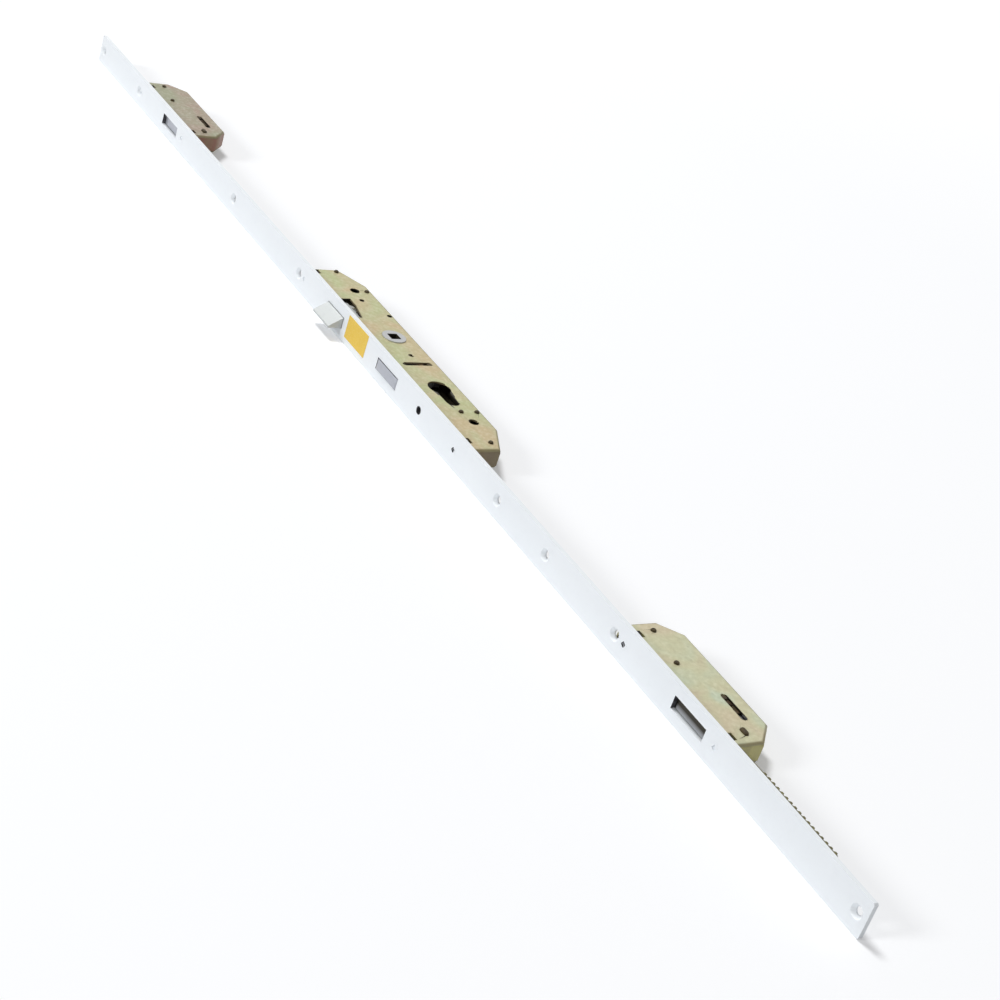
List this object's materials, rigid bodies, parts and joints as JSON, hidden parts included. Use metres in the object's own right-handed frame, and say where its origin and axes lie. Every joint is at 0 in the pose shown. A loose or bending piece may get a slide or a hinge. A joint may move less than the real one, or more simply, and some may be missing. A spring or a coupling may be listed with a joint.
{
  "type": "multipoint door lock",
  "caption": "Long flat-faceplate door lock: a main case with latch, follower and cylinder hole, and small cases above and below whose deadbolts one rail throws together.",
  "frame": {"origin": "axis of the cylinder hole, half way through the main case", "axes": "+X along the faceplate to the lock's lower end, +Y into the door, +Z along the spindle and cylinder"},
  "size_m": [1.15, 0.053, 0.024],
  "materials": {
    "white_coat": "satin white powder coat",
    "zinc": "satin yellow zinc passivation",
    "zinc_dark": "dull yellow zinc passivation",
    "nickel": "satin nickel plate",
    "steel": "bright zinc plate",
    "label": "plain matt paper label"
  },
  "bodies": {
    "case_set": {"faceplate": "white_coat", "main_tray": "zinc", "main_cover": "zinc", "upper_tray": "zinc", "upper_cover": "zinc", "lower_tray": "zinc", "lower_cover": "zinc", "main_rivets": "zinc_dark", "upper_rivets": "zinc_dark", "lower_rivets": "zinc_dark", "case_screws": "steel", "label": "label", "detent_spring": "steel", "spring_post": "zinc_dark", "latch_spring": "steel", "follower_spring": "steel"},
    "drive_rail": {"main_drive_plate": "zinc", "upper_drive_plate": "zinc", "lower_drive_plate": "zinc", "upper_rod": "zinc", "lower_rod": "zinc", "toothed_rod": "zinc_dark", "guide_studs": "zinc_dark", "rail_rivets": "zinc_dark"},
    "main_deadbolt": {"main_bolt": "nickel", "main_bolt_pin": "zinc_dark"},
    "upper_deadbolt": {"upper_bolt": "nickel", "upper_bolt_pin": "zinc_dark"},
    "lower_deadbolt": {"lower_bolt": "nickel", "lower_bolt_pin": "zinc_dark"},
    "latch": {"latch_bolt": "nickel", "latch_tail": "zinc", "latch_rivet": "zinc_dark"},
    "follower_set": {"follower": "nickel"}
  },
  "joints": [
    {"name": "rail_slide", "type": "slide", "parent": "case_set", "child": "drive_rail", "axis": [1, 0, 0], "range_m": [0, 0.02], "deforming": ["detent_spring"]},
    {"name": "main_bolt_slide", "type": "slide", "parent": "case_set", "child": "main_deadbolt", "axis": [0, -1, 0], "range_m": [0, 0.02]},
    {"name": "upper_bolt_slide", "type": "slide", "parent": "case_set", "child": "upper_deadbolt", "axis": [0, -1, 0], "range_m": [0, 0.02]},
    {"name": "lower_bolt_slide", "type": "slide", "parent": "case_set", "child": "lower_deadbolt", "axis": [0, -1, 0], "range_m": [0, 0.02]},
    {"name": "follower_turn", "type": "hinge", "parent": "case_set", "child": "follower_set", "pos_m": [-0.072, 0, 0], "axis": [0, 0, -1], "range_deg": [0, 30], "deforming": ["follower_spring"]},
    {"name": "latch_slide", "type": "slide", "parent": "case_set", "child": "latch", "axis": [0, 1, 0], "range_m": [0, 0.0115], "stiffness_N_per_m": 300, "springref_m": -0.012, "deforming": ["latch_spring"]}
  ],
  "couplings": [
    {"joint": "main_bolt_slide", "follows": "rail_slide", "ratio": 1},
    {"joint": "upper_bolt_slide", "follows": "rail_slide", "ratio": 1},
    {"joint": "lower_bolt_slide", "follows": "rail_slide", "ratio": 1},
    {"joint": "follower_turn", "follows": "latch_slide", "rad_per_m": 45.53}
  ]
}
